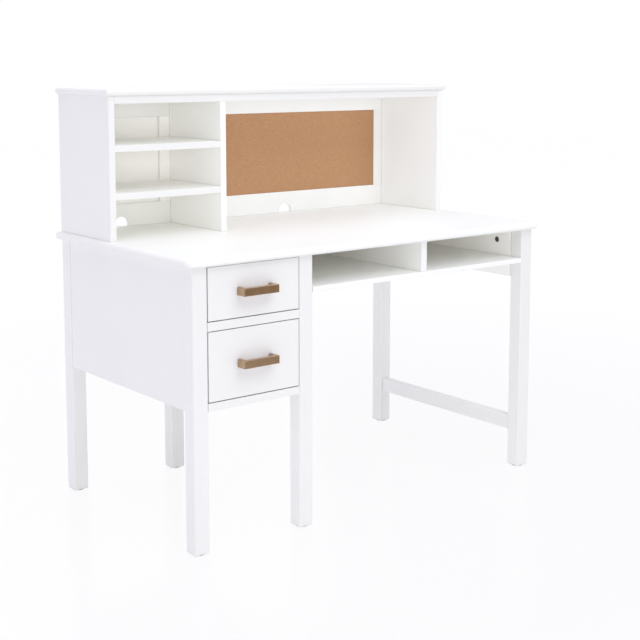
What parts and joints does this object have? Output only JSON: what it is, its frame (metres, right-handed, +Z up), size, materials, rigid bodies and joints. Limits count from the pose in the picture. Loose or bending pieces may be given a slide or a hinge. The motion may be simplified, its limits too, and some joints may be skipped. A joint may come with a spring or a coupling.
{
  "type": "student desk with hutch",
  "caption": "White student desk with a drawer pedestal at the left, open cubbies over the kneehole, and a hutch with shelves and a cork board on the desktop.",
  "frame": {"origin": "on the floor, midway between the two ends of the desktop and midway between the front of the drawer pulls and the rear face of the legs", "axes": "+X to the sitter's right along the desk, +Y towards the rear (the drawers and kneehole face -Y), +Z up"},
  "size_m": [1.092, 0.625, 1.016],
  "materials": {
    "white_paint": "satin white paint on MDF and solid wood",
    "drawer_board": "white laminated drawer board, matte",
    "cork": "fine-grained cork sheet, matte",
    "antique_bronze": "brushed antique bronze",
    "zinc_steel": "bright zinc-plated steel",
    "die_cast_zinc": "die-cast zinc, slightly dull",
    "glide_nylon": "pale grey nylon"
  },
  "bodies": {
    "desk": {"back_apron": "white_paint", "cam_bolts": "zinc_steel", "cam_locks": "die_cast_zinc", "cork_board": "cork", "cubby_divider": "white_paint", "cubby_shelf": "white_paint", "desktop": "white_paint", "drawer_rail_bottom": "white_paint", "drawer_rail_middle": "white_paint", "foot_glides": "glide_nylon", "hutch_back_panel": "white_paint", "hutch_back_rail_bottom": "white_paint", "hutch_back_rail_top": "white_paint", "hutch_divider": "white_paint", "hutch_front_rail": "white_paint", "hutch_screws": "zinc_steel", "hutch_shelf_lower": "white_paint", "hutch_shelf_upper": "white_paint", "hutch_side_left": "white_paint", "hutch_side_right": "white_paint", "hutch_stile_left": "white_paint", "hutch_stile_middle": "white_paint", "hutch_stile_right": "white_paint", "hutch_top": "white_paint", "leg_front_left": "white_paint", "leg_front_middle": "white_paint", "leg_front_right": "white_paint", "leg_rear_left": "white_paint", "leg_rear_middle": "white_paint", "leg_rear_right": "white_paint", "pedestal_back": "white_paint", "pedestal_bottom": "white_paint", "pedestal_side_inner": "white_paint", "pedestal_side_outer": "white_paint", "runner_battens": "white_paint", "runner_cabinet_members": "zinc_steel", "side_apron": "white_paint", "side_stretcher": "white_paint"},
    "drawer_upper": {"drawer_upper_back": "drawer_board", "drawer_upper_bottom": "drawer_board", "drawer_upper_front": "white_paint", "drawer_upper_pull": "antique_bronze", "drawer_upper_pull_screws": "zinc_steel", "drawer_upper_runners": "zinc_steel", "drawer_upper_side_left": "drawer_board", "drawer_upper_side_right": "drawer_board"},
    "runner_middle_upper": {"ball_cages_upper": "zinc_steel", "runner_middle_upper": "zinc_steel"},
    "drawer_lower": {"drawer_lower_back": "drawer_board", "drawer_lower_bottom": "drawer_board", "drawer_lower_front": "white_paint", "drawer_lower_pull": "antique_bronze", "drawer_lower_pull_screws": "zinc_steel", "drawer_lower_runners": "zinc_steel", "drawer_lower_side_left": "drawer_board", "drawer_lower_side_right": "drawer_board"},
    "runner_middle_lower": {"ball_cages_lower": "zinc_steel", "runner_middle_lower": "zinc_steel"}
  },
  "joints": [
    {"name": "drawer_upper_slide", "type": "slide", "parent": "desk", "child": "drawer_upper", "axis": [0, -1, 0], "range_m": [0, 0.44]},
    {"name": "runner_middle_upper_slide", "type": "slide", "parent": "desk", "child": "runner_middle_upper", "axis": [0, -1, 0], "range_m": [0, 0.22]},
    {"name": "drawer_lower_slide", "type": "slide", "parent": "desk", "child": "drawer_lower", "axis": [0, -1, 0], "range_m": [0, 0.44]},
    {"name": "runner_middle_lower_slide", "type": "slide", "parent": "desk", "child": "runner_middle_lower", "axis": [0, -1, 0], "range_m": [0, 0.22]}
  ],
  "couplings": [
    {"joint": "runner_middle_upper_slide", "follows": "drawer_upper_slide", "ratio": 0.5},
    {"joint": "runner_middle_lower_slide", "follows": "drawer_lower_slide", "ratio": 0.5}
  ]
}
